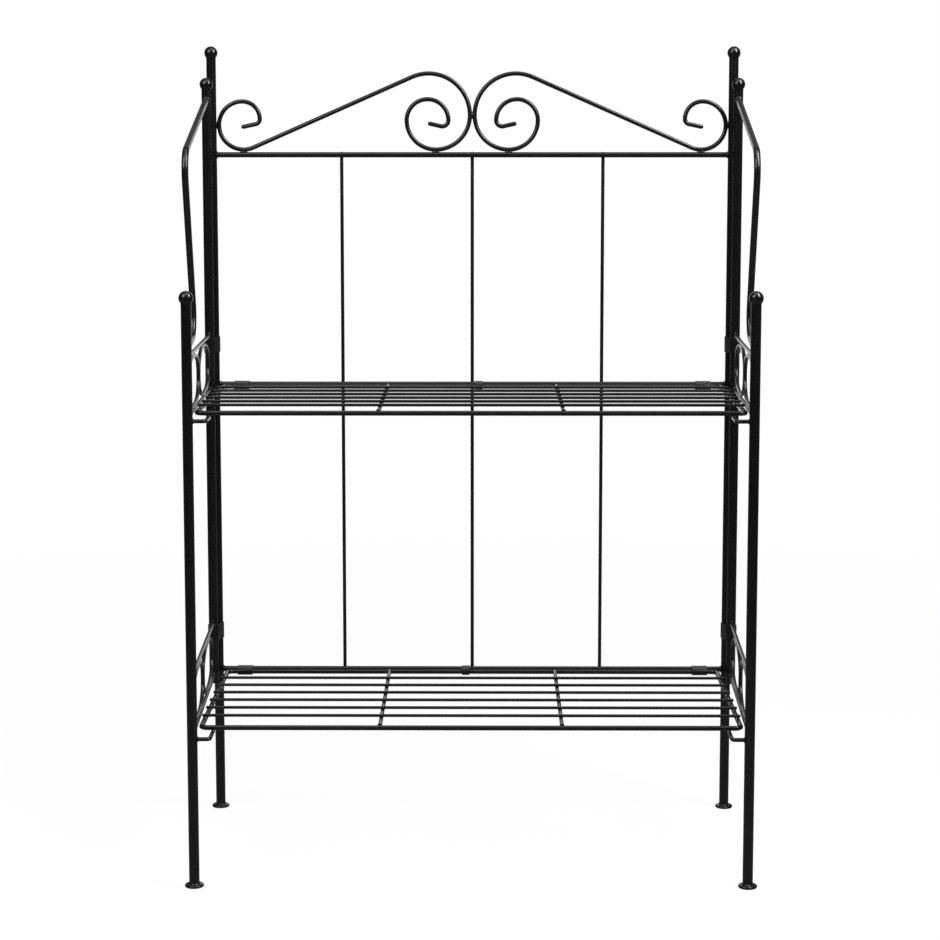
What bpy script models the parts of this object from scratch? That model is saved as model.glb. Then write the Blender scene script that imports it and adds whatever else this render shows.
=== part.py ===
"""Folding two-tier wire plant stand: back frame, two hinged side frames and two fold-up shelves.

Units are metres, +Z is up and the front of the stand faces -Y. The origin is on the floor, in the
middle of the stand. Every welded or resting joint keeps CLEARANCE between its two pieces.
"""
import math

import bmesh
import bpy
from mathutils import Matrix, Quaternion, Vector

# Overall layout
POST_SPACING = 0.600
SIDE_DEPTH = 0.285
FRONT_INSET = 0.0052
HINGE_OUTWARD = 0.00445
CLEARANCE = 0.0003

# Heights above the floor, and from one piece to the next
BACK_FINIAL_Z = 0.889
SIDE_FINIAL_BELOW_BACK = 0.036
TOP_RAIL_BELOW_FINIAL = 0.116
MIDDLE_RAIL_Z = 0.507
LOWER_RAIL_Z = 0.168
FRONT_FINIAL_ABOVE_RAIL = 0.121

# Posts, finials and feet
POST_RADIUS = 0.0055
POST_WALL = 0.001
FINIAL_RADIUS = 0.0076
FOOT_RADIUS = 0.0102
FOOT_THICKNESS = 0.0034
FOOT_CHAMFER = 0.0008
REAR_POST_END_BELOW_SHELF = 0.012

# Rods
RAIL_RADIUS = 0.0031
BACK_WIRE_RADIUS = 0.0020
BACK_WIRE_PITCH = 0.151
BACK_WIRE_OVERHANG = 0.003
CREST_RADIUS = 0.00255
ARM_RADIUS = 0.0036
GUARD_RADIUS = 0.0022
HOOK_RADIUS = 0.0022
WELD_BITE = 0.0006

# Crest scroll: radii of each curl's arcs, from the long straight inwards
SMALL_CURL_ENTRY = 0.028
SMALL_CURL_SIDE = 0.027
SMALL_CURL_INNER = 0.020
SMALL_CURL_BEND = 0.006
SMALL_CURL_BEND_TURN = math.radians(78.0)
SMALL_CURL_TAIL = 0.017
LARGE_CURL_ENTRY = 0.0475
LARGE_CURL_SIDE = 0.0393
LARGE_CURL_BOTTOM = 0.0335
LARGE_CURL_INNER = 0.024
LARGE_CURL_BEND = 0.007
LARGE_CURL_BEND_TURN = math.radians(103.0)
LARGE_CURL_TAIL = 0.0155

# Side frame arm: corners from the front post and below the finials, with the radii of their bends
ARM_START_DROP = 0.0183
ARM_SHOULDER_BEHIND_POST = 0.001
ARM_SHOULDER_DROP = 0.0782
ARM_SHOULDER_BEND = 0.024
ARM_WAIST_BEHIND_POST = 0.0945
ARM_WAIST_DROP = 0.0435
ARM_WAIST_BEND = 0.025
ARM_END_ABOVE_GUARD = 0.0085

# Guards beside the shelves
GUARD_LOWER_BAR_DROP = 0.0018
GUARD_TOP_BAR_RISE = 0.0605
RING_START = 0.0285
RING_LENGTH = 0.120
RING_SQUARENESS = 2.4

# Hinge bands
BAND_HEIGHT = 0.018
BAND_THICKNESS = 0.0007

# Shelves
SHELF_ROD_RADIUS = 0.0027
SHELF_SIDE_GAP = 0.0110
SHELF_FRONT_GAP = 0.0285
SHELF_RAIL_GAP = 0.00085
SHELF_DROP = 0.002
SHELF_CORNER_RADIUS = 0.007
SHELF_FRAME_RETURN = 0.0006
SHELF_WIRE_RADIUS = 0.0017
SHELF_WIRES = 6
SHELF_WIRE_FRONT_GAP = 0.0346
SHELF_WIRE_PITCH = 0.0352
CROSS_BAR_RADIUS = 0.0022
CROSS_BAR_OFFSET = 0.0975

# Shelf clips
CLIP_THICKNESS = 0.0006
END_CLIP_WIDTH = 0.0176
END_CLIP_INSET = 0.0315
MIDDLE_CLIP_WIDTH = 0.009
MIDDLE_CLIP_OFFSET = 0.0075

# Hooks
HOOK_TIP_INSIDE = 0.0125
HOOK_TIP_PAST_ROD = 0.0035
HOOK_BEND_RADIUS = 0.0035

# Facets
POST_SIDES = 20
TURNED_STEPS = 20
BALL_RINGS = 8
ROD_BEVEL_RESOLUTION = 2
ARM_BEVEL_RESOLUTION = 3
ARC_STEP = math.radians(14.0)
RING_POINTS = 28
BAND_ARC_STEPS = 8

# Places worked out from the sizes above
BACK_X = POST_SPACING / 2
HINGE_X = BACK_X + HINGE_OUTWARD
HINGE_DISTANCE = POST_RADIUS + FINIAL_RADIUS + CLEARANCE
HINGE_FORWARD = math.sqrt(HINGE_DISTANCE**2 - HINGE_OUTWARD**2)
FRONT_X = BACK_X - FRONT_INSET
TOE_IN = math.asin((HINGE_X - FRONT_X) / SIDE_DEPTH)
FRONT_REACH = HINGE_FORWARD + SIDE_DEPTH * math.cos(TOE_IN)
BACK_Y = FRONT_REACH / 2
HINGE_Y = BACK_Y - HINGE_FORWARD
FRONT_Y = BACK_Y - FRONT_REACH
SIDE_FINIAL_Z = BACK_FINIAL_Z - SIDE_FINIAL_BELOW_BACK
FRONT_FINIAL_Z = MIDDLE_RAIL_Z + FRONT_FINIAL_ABOVE_RAIL
TOP_RAIL_Z = BACK_FINIAL_Z - TOP_RAIL_BELOW_FINIAL
POST_FOOT_Z = FOOT_THICKNESS + CLEARANCE
FINIAL_SEAT_RADIUS = POST_RADIUS - POST_WALL / 2
FINIAL_SEAT = math.sqrt(FINIAL_RADIUS**2 - FINIAL_SEAT_RADIUS**2)
SHELF_SETBACK = RAIL_RADIUS + SHELF_ROD_RADIUS + SHELF_RAIL_GAP
SHELF_HALF_WIDTH = BACK_X - SHELF_SIDE_GAP
SHELF_DEPTH = FRONT_REACH - SHELF_SETBACK - SHELF_FRONT_GAP
UPPER_SHELF_Z = MIDDLE_RAIL_Z - SHELF_DROP
LOWER_SHELF_Z = LOWER_RAIL_Z - SHELF_DROP
GUARD_HEIGHT = GUARD_TOP_BAR_RISE + GUARD_LOWER_BAR_DROP

LEVELS = {"upper": UPPER_SHELF_Z, "lower": LOWER_SHELF_Z}
RAILS = {"upper": MIDDLE_RAIL_Z, "lower": LOWER_RAIL_Z}
SIDES = {"left": -1, "right": 1}


def clear_scene():
    """Remove every object that the scene starts with."""
    for item in list(bpy.data.objects):
        bpy.data.objects.remove(item, do_unlink=True)


def new_collection(name):
    """Make a collection and link it to the scene."""
    collection = bpy.data.collections.new(name)
    bpy.context.scene.collection.children.link(collection)
    return collection


def new_material(name, colour, roughness, metallic):
    """Make a Principled material."""
    material = bpy.data.materials.new(name)
    material.use_nodes = True
    shader = material.node_tree.nodes["Principled BSDF"]
    shader.inputs["Base Color"].default_value = (*colour, 1.0)
    shader.inputs["Roughness"].default_value = roughness
    shader.inputs["Metallic"].default_value = metallic
    return material


clear_scene()
PARTS = new_collection("plant_stand")
CUTTERS = new_collection("plant_stand_cutters")
POST_COAT = new_material("post_coat", (0.012, 0.012, 0.013), 0.30, 0.0)
ROD_COAT = new_material("rod_coat", (0.014, 0.014, 0.015), 0.35, 0.0)
STRAP_COAT = new_material("strap_coat", (0.016, 0.016, 0.017), 0.42, 0.0)


def add_object(name, data, material, parent=None, location=(0.0, 0.0, 0.0)):
    """Put mesh or curve data into the parts collection as a named object."""
    item = bpy.data.objects.new(name, data)
    data.materials.append(material)
    PARTS.objects.link(item)
    item.parent = parent
    item.location = location
    return item


def add_empty(name, matrix):
    """Make an empty that carries the pieces of one body."""
    empty = bpy.data.objects.new(name, None)
    empty.matrix_world = matrix
    PARTS.objects.link(empty)
    return empty


def bar_mesh(name, radius, length, axis, sides, capped=True):
    """Make a cylinder along X, Y or Z, centred on its own origin."""
    turns = {"X": Matrix.Rotation(math.pi / 2, 3, "Y"), "Y": Matrix.Rotation(math.pi / 2, 3, "X")}
    shape = bmesh.new()
    bmesh.ops.create_cone(
        shape, cap_ends=capped, segments=sides, radius1=radius, radius2=radius, depth=length
    )
    if axis in turns:
        bmesh.ops.rotate(shape, cent=(0.0, 0.0, 0.0), matrix=turns[axis], verts=shape.verts)
    mesh = bpy.data.meshes.new(name)
    shape.to_mesh(mesh)
    shape.free()
    return mesh


def post(name, bottom, top, parent, place):
    """Stand a tube between two heights."""
    mesh = bar_mesh(name, POST_RADIUS, top - bottom, "Z", POST_SIDES, capped=False)
    item = add_object(name, mesh, POST_COAT, parent, (place[0], place[1], (bottom + top) / 2))
    wall = item.modifiers.new("wall", "SOLIDIFY")
    wall.thickness = POST_WALL
    wall.offset = -1.0
    wall.use_even_offset = True
    return item


def turned(name, profile, parent, location):
    """Turn a profile of (radius, height) points, from its top to its bottom, about Z."""
    shape = bmesh.new()
    corners = [shape.verts.new((radius, 0.0, height)) for radius, height in profile]
    for first, second in zip(corners, corners[1:]):
        shape.edges.new((first, second))
    mesh = bpy.data.meshes.new(name)
    shape.to_mesh(mesh)
    shape.free()
    item = add_object(name, mesh, POST_COAT, parent, location)
    screw = item.modifiers.new("turn", "SCREW")
    screw.steps = TURNED_STEPS
    screw.render_steps = TURNED_STEPS
    screw.use_merge_vertices = True
    screw.merge_threshold = 0.00001
    return item


def finial(name, parent, location):
    """Turn a ball with a flat seat below it."""
    low = -math.asin(FINIAL_SEAT / FINIAL_RADIUS)
    sweep = math.pi / 2 - low
    angles = [math.pi / 2 - sweep * step / BALL_RINGS for step in range(BALL_RINGS + 1)]
    ball = [(FINIAL_RADIUS * math.cos(a), FINIAL_RADIUS * math.sin(a)) for a in angles]
    ball[0] = (0.0, FINIAL_RADIUS)
    return turned(name, [*ball, (0.0, -FINIAL_SEAT)], parent, location)


def foot(name, parent, place):
    """Turn a disc foot with a chamfered upper edge."""
    profile = [
        (0.0, FOOT_THICKNESS),
        (FOOT_RADIUS - FOOT_CHAMFER, FOOT_THICKNESS),
        (FOOT_RADIUS, FOOT_THICKNESS - FOOT_CHAMFER),
        (FOOT_RADIUS, 0.0),
        (0.0, 0.0),
    ]
    return turned(name, profile, parent, (place[0], place[1], 0.0))


def rod(name, points, radius, parent, closed=False, resolution=ROD_BEVEL_RESOLUTION):
    """Sweep a round rod along a list of points."""
    curve = bpy.data.curves.new(name, "CURVE")
    curve.dimensions = "3D"
    curve.bevel_depth = radius
    curve.bevel_resolution = resolution
    curve.use_fill_caps = not closed
    spline = curve.splines.new("POLY")
    spline.points.add(len(points) - 1)
    for corner, place in zip(spline.points, points):
        corner.co = (*place, 1.0)
    spline.use_cyclic_u = closed
    return add_object(name, curve, ROD_COAT, parent)


def as_mesh(item):
    """Replace a curve object by a mesh object of the same shape, name and parent."""
    bpy.context.view_layer.update()
    evaluated = item.evaluated_get(bpy.context.evaluated_depsgraph_get())
    mesh = bpy.data.meshes.new_from_object(evaluated)
    name = item.name
    parent = item.parent
    location = item.location.copy()
    bpy.data.objects.remove(item, do_unlink=True)
    solid = add_object(name, mesh, ROD_COAT, parent, location)
    solid.name = name
    return solid


def make_cutter(item, collection):
    """Move an object out of the parts and show it as a wire cutter."""
    PARTS.objects.unlink(item)
    collection.objects.link(item)
    item.hide_render = True
    item.display_type = "WIRE"


def bend(before, corner, after, radius):
    """List the points of the arc that rounds one corner of a path."""
    back = (before - corner).normalized()
    ahead = (after - corner).normalized()
    half = back.angle(ahead) / 2
    centre = corner + (back + ahead).normalized() * radius / math.sin(half)
    start = corner + back * radius / math.tan(half) - centre
    axis = back.cross(ahead)
    turn = math.pi - 2 * half
    steps = max(2, math.ceil(turn / ARC_STEP))
    return [centre + Quaternion(axis, -turn * step / steps) @ start for step in range(steps + 1)]


def filleted(points, radius, closed=False):
    """Round the corners of a path of points with arcs of one radius."""
    corners = [Vector(point) for point in points]
    count = len(corners)
    path = []
    for index, corner in enumerate(corners):
        is_end = index in (0, count - 1)
        if is_end and not closed:
            path.append(corner)
            continue
        path += bend(corners[index - 1], corner, corners[(index + 1) % count], radius)
    return path


def arc(centre, radius, start, end):
    """List the points of an arc in a plane, without its first point."""
    steps = max(2, math.ceil(abs(end - start) / ARC_STEP))
    angles = [start + (end - start) * step / steps for step in range(1, steps + 1)]
    return [centre + radius * Vector((math.cos(a), math.sin(a))) for a in angles]


def curl(centre, start, arcs, bend_radius, bend_turn, tail):
    """Wind clockwise from a tangent point through arcs of (radius, end angle), then a bend and a tail."""
    radius = arcs[0][0]
    angle = start
    points = [centre + radius * Vector((math.cos(angle), math.sin(angle)))]
    for next_radius, end in [*arcs, (bend_radius, arcs[-1][1] - bend_turn)]:
        centre = centre + (radius - next_radius) * Vector((math.cos(angle), math.sin(angle)))
        points += arc(centre, next_radius, angle, end)
        radius = next_radius
        angle = end
    heading = Vector((math.sin(angle), -math.cos(angle)))
    points.append(points[-1] + tail * heading)
    return points


def crest_path():
    """Draw the left crest scroll in the XZ plane: small curl, long straight, large curl."""
    rail_top = TOP_RAIL_Z + RAIL_RADIUS + CLEARANCE + CREST_RADIUS
    post_face = BACK_X - POST_RADIUS - CLEARANCE - CREST_RADIUS
    small = Vector((SMALL_CURL_ENTRY - post_face, rail_top + SMALL_CURL_ENTRY))
    middle_face = -CREST_RADIUS - CLEARANCE / 2
    large = Vector((middle_face - LARGE_CURL_ENTRY, rail_top + LARGE_CURL_SIDE))
    between = large - small
    slope = math.atan2(between.y, between.x)
    slope += math.asin((SMALL_CURL_ENTRY + LARGE_CURL_ENTRY) / between.length)
    small_arcs = [
        (SMALL_CURL_ENTRY, -math.pi),
        (SMALL_CURL_SIDE, -1.5 * math.pi),
        (SMALL_CURL_INNER, -2.0 * math.pi),
    ]
    large_arcs = [
        (LARGE_CURL_ENTRY, 0.0),
        (LARGE_CURL_SIDE, -0.5 * math.pi),
        (LARGE_CURL_BOTTOM, -math.pi),
        (LARGE_CURL_INNER, -2.0 * math.pi),
    ]
    outer = curl(
        small, slope - math.pi / 2, small_arcs, SMALL_CURL_BEND, SMALL_CURL_BEND_TURN, SMALL_CURL_TAIL
    )
    inner = curl(
        large, slope + math.pi / 2, large_arcs, LARGE_CURL_BEND, LARGE_CURL_BEND_TURN, LARGE_CURL_TAIL
    )
    return [*reversed(outer), *inner]


def racetrack(length, radius):
    """List the corners of a slot outline round two axes that lie a length apart along X."""
    points = []
    for centre, first in ((length, -math.pi / 2), (0.0, math.pi / 2)):
        for step in range(BAND_ARC_STEPS + 1):
            angle = first + math.pi * step / BAND_ARC_STEPS
            points.append((centre + radius * math.cos(angle), radius * math.sin(angle)))
    return points


def strap(name, length, inner_radius, thickness, width, matrix):
    """Bend a flat strap round two parallel bars."""
    curve = bpy.data.curves.new(name, "CURVE")
    curve.dimensions = "2D"
    curve.fill_mode = "BOTH"
    curve.extrude = width / 2
    for radius in (inner_radius + thickness, inner_radius):
        outline = racetrack(length, radius)
        spline = curve.splines.new("POLY")
        spline.points.add(len(outline) - 1)
        for corner, place in zip(spline.points, outline):
            corner.co = (*place, 0.0, 1.0)
        spline.use_cyclic_u = True
    item = add_object(name, curve, STRAP_COAT)
    item.matrix_world = matrix
    return item


def build_back_frame():
    """Build the back posts, rails, upright wires and crest."""
    seat_z = BACK_FINIAL_Z - FINIAL_SEAT - CLEARANCE
    for side, sign in SIDES.items():
        place = (sign * BACK_X, BACK_Y)
        post(f"back_post_{side}", POST_FOOT_Z, seat_z, None, place)
        finial(f"back_finial_{side}", None, (*place, BACK_FINIAL_Z))
        foot(f"back_foot_{side}", None, place)
        crest = [(-sign * x, BACK_Y, z) for x, z in crest_path()]
        rod(f"crest_scroll_{side}", crest, CREST_RADIUS, None)
    rail_end = BACK_X - POST_RADIUS - CLEARANCE
    heights = {"top_rail": TOP_RAIL_Z, "middle_rail": MIDDLE_RAIL_Z, "lower_rail": LOWER_RAIL_Z}
    for name, height in heights.items():
        ends = [(-rail_end, BACK_Y, height), (rail_end, BACK_Y, height)]
        rod(name, ends, RAIL_RADIUS, None)
    wire_y = BACK_Y + RAIL_RADIUS + CLEARANCE + BACK_WIRE_RADIUS
    reach = RAIL_RADIUS + BACK_WIRE_OVERHANG
    for name, step in {"left": -1, "centre": 0, "right": 1}.items():
        wire_x = step * BACK_WIRE_PITCH
        ends = [(wire_x, wire_y, LOWER_RAIL_Z - reach), (wire_x, wire_y, TOP_RAIL_Z + reach)]
        rod(f"back_wire_{name}", ends, BACK_WIRE_RADIUS, None)


def build_hinge_bands():
    """Wrap a band round each pair of posts, just under the guards' top bars."""
    inner = POST_RADIUS + CLEARANCE
    below_bar = GUARD_TOP_BAR_RISE - GUARD_RADIUS - CLEARANCE - BAND_HEIGHT / 2
    for level, shelf_z in LEVELS.items():
        for side, sign in SIDES.items():
            turn = math.atan2(-HINGE_FORWARD, sign * HINGE_OUTWARD)
            place = Matrix.Translation((sign * BACK_X, BACK_Y, shelf_z + below_bar))
            matrix = place @ Matrix.Rotation(turn, 4, "Z")
            name = f"{level}_hinge_band_{side}"
            strap(name, HINGE_DISTANCE, inner, BAND_THICKNESS, BAND_HEIGHT, matrix)


def build_clips():
    """Wrap the clips that hold each shelf's rear rod to its back rail."""
    towards_shelf = Vector((0.0, -SHELF_SETBACK, -SHELF_DROP))
    distance = towards_shelf.length
    along = towards_shelf.normalized()
    across = Vector((1.0, 0.0, 0.0))
    turn = Matrix((along, across.cross(along), across)).transposed().to_4x4()
    inner = max(RAIL_RADIUS, SHELF_ROD_RADIUS) + CLEARANCE
    end_x = BACK_X - END_CLIP_INSET
    middle = {"upper": MIDDLE_CLIP_OFFSET, "lower": -MIDDLE_CLIP_OFFSET}
    for level, rail_z in RAILS.items():
        clips = {
            "left": (-end_x, END_CLIP_WIDTH),
            "middle": (middle[level], MIDDLE_CLIP_WIDTH),
            "right": (end_x, END_CLIP_WIDTH),
        }
        for name, (clip_x, width) in clips.items():
            matrix = Matrix.Translation((clip_x, BACK_Y, rail_z)) @ turn
            strap(f"{level}_shelf_clip_{name}", distance, inner, CLIP_THICKNESS, width, matrix)


def arm(name, parent):
    """Bend the arm tube from the rear post's top, forward, back down and in to the front post."""
    face = POST_RADIUS + CLEARANCE
    end_z = UPPER_SHELF_Z + GUARD_TOP_BAR_RISE + ARM_END_ABOVE_GUARD
    start = Vector((0.0, -face, SIDE_FINIAL_Z - ARM_START_DROP))
    shoulder = Vector((0.0, ARM_SHOULDER_BEHIND_POST - SIDE_DEPTH, SIDE_FINIAL_Z - ARM_SHOULDER_DROP))
    waist = Vector((0.0, ARM_WAIST_BEHIND_POST - SIDE_DEPTH, FRONT_FINIAL_Z - ARM_WAIST_DROP))
    end = Vector((0.0, face - SIDE_DEPTH, end_z))
    start.y -= ARM_RADIUS * abs((shoulder - start).normalized().z)
    end.y += ARM_RADIUS * abs((end - waist).normalized().z)
    path = [start]
    path += bend(start, shoulder, waist, ARM_SHOULDER_BEND)
    path += bend(shoulder, waist, end, ARM_WAIST_BEND)
    path.append(end)
    return rod(name, path, ARM_RADIUS, parent, resolution=ARM_BEVEL_RESOLUTION)


def ring_path(middle, height):
    """Draw one oval guard ring, in the plane of the side frame."""
    half_length = RING_LENGTH / 2
    half_height = GUARD_HEIGHT / 2 - GUARD_RADIUS - CLEARANCE - GUARD_RADIUS
    power = 2.0 / RING_SQUARENESS
    points = []
    for step in range(RING_POINTS):
        angle = 2 * math.pi * step / RING_POINTS
        across = math.copysign(abs(math.cos(angle)) ** power, math.cos(angle))
        upward = math.copysign(abs(math.sin(angle)) ** power, math.sin(angle))
        points.append((0.0, -(middle + half_length * across), height + half_height * upward))
    return points


def guard(side, level, shelf_z, parent):
    """Build one guard: two bars between the posts and a double ring between the bars."""
    end = POST_RADIUS + CLEARANCE
    rises = {"top_bar": GUARD_TOP_BAR_RISE, "lower_bar": -GUARD_LOWER_BAR_DROP}
    for bar, rise in rises.items():
        ends = [(0.0, -end, shelf_z + rise), (0.0, end - SIDE_DEPTH, shelf_z + rise)]
        rod(f"{side}_{level}_guard_{bar}", ends, GUARD_RADIUS, parent)
    name = f"{side}_{level}_guard_rings"
    height = shelf_z + (GUARD_TOP_BAR_RISE - GUARD_LOWER_BAR_DROP) / 2
    rear_middle = RING_START + RING_LENGTH / 2
    pitch = RING_LENGTH + 2 * GUARD_RADIUS - WELD_BITE
    rear_ring = as_mesh(rod(name, ring_path(rear_middle, height), GUARD_RADIUS, parent, True))
    front_path = ring_path(rear_middle + pitch, height)
    front_ring = as_mesh(rod(f"{name}_front", front_path, GUARD_RADIUS, parent, True))
    make_cutter(front_ring, CUTTERS)
    weld = rear_ring.modifiers.new("weld", "BOOLEAN")
    weld.operation = "UNION"
    weld.object = front_ring


def hook(name, sign, shelf_z, parent, to_local):
    """Bend a hook from the front post, in and then back under the shelf's front rod."""
    low_z = shelf_z - SHELF_ROD_RADIUS - CLEARANCE - HOOK_RADIUS
    tip_x = sign * (SHELF_HALF_WIDTH - HOOK_TIP_INSIDE)
    front_rod_y = FRONT_Y + SHELF_FRONT_GAP
    tip_y = front_rod_y + SHELF_ROD_RADIUS + HOOK_TIP_PAST_ROD
    corners = [
        (sign * (FRONT_X - POST_RADIUS - CLEARANCE), FRONT_Y, low_z),
        (tip_x, FRONT_Y, low_z),
        (tip_x, tip_y, low_z),
    ]
    local = [to_local @ Vector(corner) for corner in corners]
    return rod(name, filleted(local, HOOK_BEND_RADIUS), HOOK_RADIUS, parent)


def build_side_frame(side, sign):
    """Build one side frame on an empty that stands on its hinge axis."""
    place = Matrix.Translation((sign * HINGE_X, HINGE_Y, 0.0))
    matrix = place @ Matrix.Rotation(-sign * TOE_IN, 4, "Z")
    hinge = add_empty(f"{side}_side_hinge", matrix)
    seat = FINIAL_SEAT + CLEARANCE
    rear = (0.0, 0.0)
    front = (0.0, -SIDE_DEPTH)
    rear_post_end = LOWER_SHELF_Z - REAR_POST_END_BELOW_SHELF
    post(f"{side}_rear_post", rear_post_end, SIDE_FINIAL_Z - seat, hinge, rear)
    finial(f"{side}_rear_finial", hinge, (*rear, SIDE_FINIAL_Z))
    post(f"{side}_front_post", POST_FOOT_Z, FRONT_FINIAL_Z - seat, hinge, front)
    finial(f"{side}_front_finial", hinge, (*front, FRONT_FINIAL_Z))
    foot(f"{side}_front_foot", hinge, front)
    arm(f"{side}_arm", hinge)
    to_local = matrix.inverted()
    for level, shelf_z in LEVELS.items():
        guard(side, level, shelf_z, hinge)
        hook(f"{side}_{level}_hook", sign, shelf_z, hinge, to_local)


def shelf_grid(level, parent):
    """Lay the long wires across the shelf's side rods and weld two cross bars under them."""
    rod_face = SHELF_ROD_RADIUS + CLEARANCE
    wire_z = rod_face + SHELF_WIRE_RADIUS
    bar_z = wire_z - SHELF_WIRE_RADIUS - CROSS_BAR_RADIUS + WELD_BITE
    wire_length = 2 * (SHELF_HALF_WIDTH + SHELF_ROD_RADIUS)
    bar_length = SHELF_DEPTH - 2 * rod_face
    sides = 2 * ROD_BEVEL_RESOLUTION + 4
    name = f"{level}_shelf_grid"
    welded = bpy.data.collections.new(f"{level}_grid_wires")
    CUTTERS.children.link(welded)
    bars = []
    for sign in (-1, 1):
        mesh = bar_mesh(name, CROSS_BAR_RADIUS, bar_length, "Y", sides)
        place = (sign * CROSS_BAR_OFFSET, -SHELF_DEPTH / 2, bar_z)
        bars.append(add_object(name, mesh, ROD_COAT, parent, place))
    make_cutter(bars[1], welded)
    for index in range(SHELF_WIRES):
        mesh = bar_mesh(f"{level}_wire", SHELF_WIRE_RADIUS, wire_length, "X", sides)
        from_front = SHELF_WIRE_FRONT_GAP + index * SHELF_WIRE_PITCH
        place = (0.0, from_front - SHELF_DEPTH, wire_z)
        make_cutter(add_object(f"{level}_wire", mesh, ROD_COAT, parent, place), welded)
    weld = bars[0].modifiers.new("weld", "BOOLEAN")
    weld.operation = "UNION"
    weld.operand_type = "COLLECTION"
    weld.collection = welded


def build_shelf(level, shelf_z):
    """Build one shelf on an empty that lies on the axis of its rear rod."""
    axis = add_empty(f"{level}_shelf_axis", Matrix.Translation((0.0, BACK_Y - SHELF_SETBACK, shelf_z)))
    outline = [
        (SHELF_HALF_WIDTH, -SHELF_DEPTH, 0.0),
        (SHELF_HALF_WIDTH, 0.0, 0.0),
        (-SHELF_HALF_WIDTH, 0.0, 0.0),
        (-SHELF_HALF_WIDTH, -SHELF_DEPTH, 0.0),
    ]
    frame_end = SHELF_HALF_WIDTH - SHELF_CORNER_RADIUS - SHELF_FRAME_RETURN
    first = (frame_end, -SHELF_DEPTH, 0.0)
    last = (-frame_end, -SHELF_DEPTH, 0.0)
    path = [first, *filleted(outline, SHELF_CORNER_RADIUS, closed=True), last]
    rod(f"{level}_shelf_frame", path, SHELF_ROD_RADIUS, axis)
    front_end = frame_end - CLEARANCE
    ends = [(-front_end, -SHELF_DEPTH, 0.0), (front_end, -SHELF_DEPTH, 0.0)]
    rod(f"{level}_shelf_front_rod", ends, SHELF_ROD_RADIUS, axis)
    shelf_grid(level, axis)


build_back_frame()
build_hinge_bands()
build_clips()
for side_name, side_sign in SIDES.items():
    build_side_frame(side_name, side_sign)
for level_name, level_z in LEVELS.items():
    build_shelf(level_name, level_z)
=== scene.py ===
"""Dressed model of a folding two-tier wire plant stand in black powder coat, in a white studio.

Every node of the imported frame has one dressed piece, and each body's welds are two pieces more. All
is in metres, with +Z up and the stand's front towards -Y. Straight pieces take their place from the
frame's boxes. Bent pieces repeat the radii that they are bent to.
"""
import logging
import math
from dataclasses import KW_ONLY, dataclass, field
from enum import Enum
from typing import Sequence

import bmesh
import bpy
from mathutils import Matrix, Quaternion, Vector


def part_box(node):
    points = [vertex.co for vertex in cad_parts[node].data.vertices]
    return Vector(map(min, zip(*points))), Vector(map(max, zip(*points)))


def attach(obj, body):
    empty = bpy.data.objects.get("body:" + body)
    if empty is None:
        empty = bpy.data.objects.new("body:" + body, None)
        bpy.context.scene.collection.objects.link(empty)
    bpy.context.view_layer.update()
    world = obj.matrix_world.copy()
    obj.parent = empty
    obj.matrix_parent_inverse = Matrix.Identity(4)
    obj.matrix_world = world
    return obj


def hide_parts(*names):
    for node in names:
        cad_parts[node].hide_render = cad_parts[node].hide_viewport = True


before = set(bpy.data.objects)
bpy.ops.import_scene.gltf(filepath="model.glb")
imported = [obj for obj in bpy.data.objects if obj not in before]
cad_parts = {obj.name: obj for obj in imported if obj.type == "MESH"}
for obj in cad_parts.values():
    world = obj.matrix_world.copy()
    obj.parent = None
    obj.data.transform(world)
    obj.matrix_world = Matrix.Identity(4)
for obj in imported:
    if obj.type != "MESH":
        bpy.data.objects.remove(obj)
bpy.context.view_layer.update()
LOG = logging.getLogger("plant_stand")

Tree = bpy.types.NodeTree
Plug = bpy.types.NodeSocket
Plugs = dict[str, Plug]
Feeds = dict[str | int, object]
Triple = tuple[float, float, float]
Span = tuple[float, float]

CLEARANCE = 0.0003
QUARTER = math.pi / 2
ACROSS = Vector((1.0, 0.0, 0.0))
INWARD = Vector((0.0, 1.0, 0.0))
UPRIGHT = Vector((0.0, 0.0, 1.0))
RAILS = ("top_rail", "middle_rail", "lower_rail")
WIRES = ("back_wire_left", "back_wire_centre", "back_wire_right")

# Facets
ARC_STEP = math.radians(5.0)
SMOOTH_ANGLE = math.radians(40.0)
TURNED_SEGMENTS = 48
ROD_SIDES = 24
WIRE_SIDES = 16
END_STEPS = 5
END_FLAT = 0.25

# Textures of the coat and of the dust and painted sheen, in features to the metre
NOISE_MIDDLE = 0.5
FLOW_DETAIL = 2.0
FLECK_DETAIL = 1.0
FLECK_BAND = (0.45, 0.75)
CLOUD_SCALE = 26.0
CLOUD_DETAIL = 3.0
GRAIN_SCALE = 420.0
GRAIN_DETAIL = 4.0
DUST_AND_SHEEN_ROUGHENING = 0.4
COAT_IOR = 1.5

# Welds: sides, then radii and length as shares of the reach, then the lumps on them
COLLAR_SIDES = 24
COLLAR_RADIUS = 0.97
COLLAR_BEAD_SIDES = 10
COLLAR_BEAD_RADIUS = 0.34
BEAD_SEGMENTS = 16
BEAD_RINGS = 10
BEAD_RADIUS = 0.8
BEAD_STRETCH = 1.9
LUMP_DETAIL = 1.0
LUMP_SCALE = 850.0
LUMP_HEIGHT = 0.0005


class Side(Enum):
    """One of the stand's two mirrored sides, as the sign of its X."""

    LEFT = -1
    RIGHT = 1

    @property
    def label(self) -> str:
        """Give the side's name as the nodes spell it."""
        return self.name.lower()


class Tier(Enum):
    """One of the two shelves' levels."""

    UPPER = "upper"
    LOWER = "lower"


class RoundedEnds(Enum):
    """Whether a rod's first and last ends are rounded; the others butt against a neighbour."""

    NEITHER = (False, False)
    LAST = (False, True)
    BOTH = (True, True)


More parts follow.
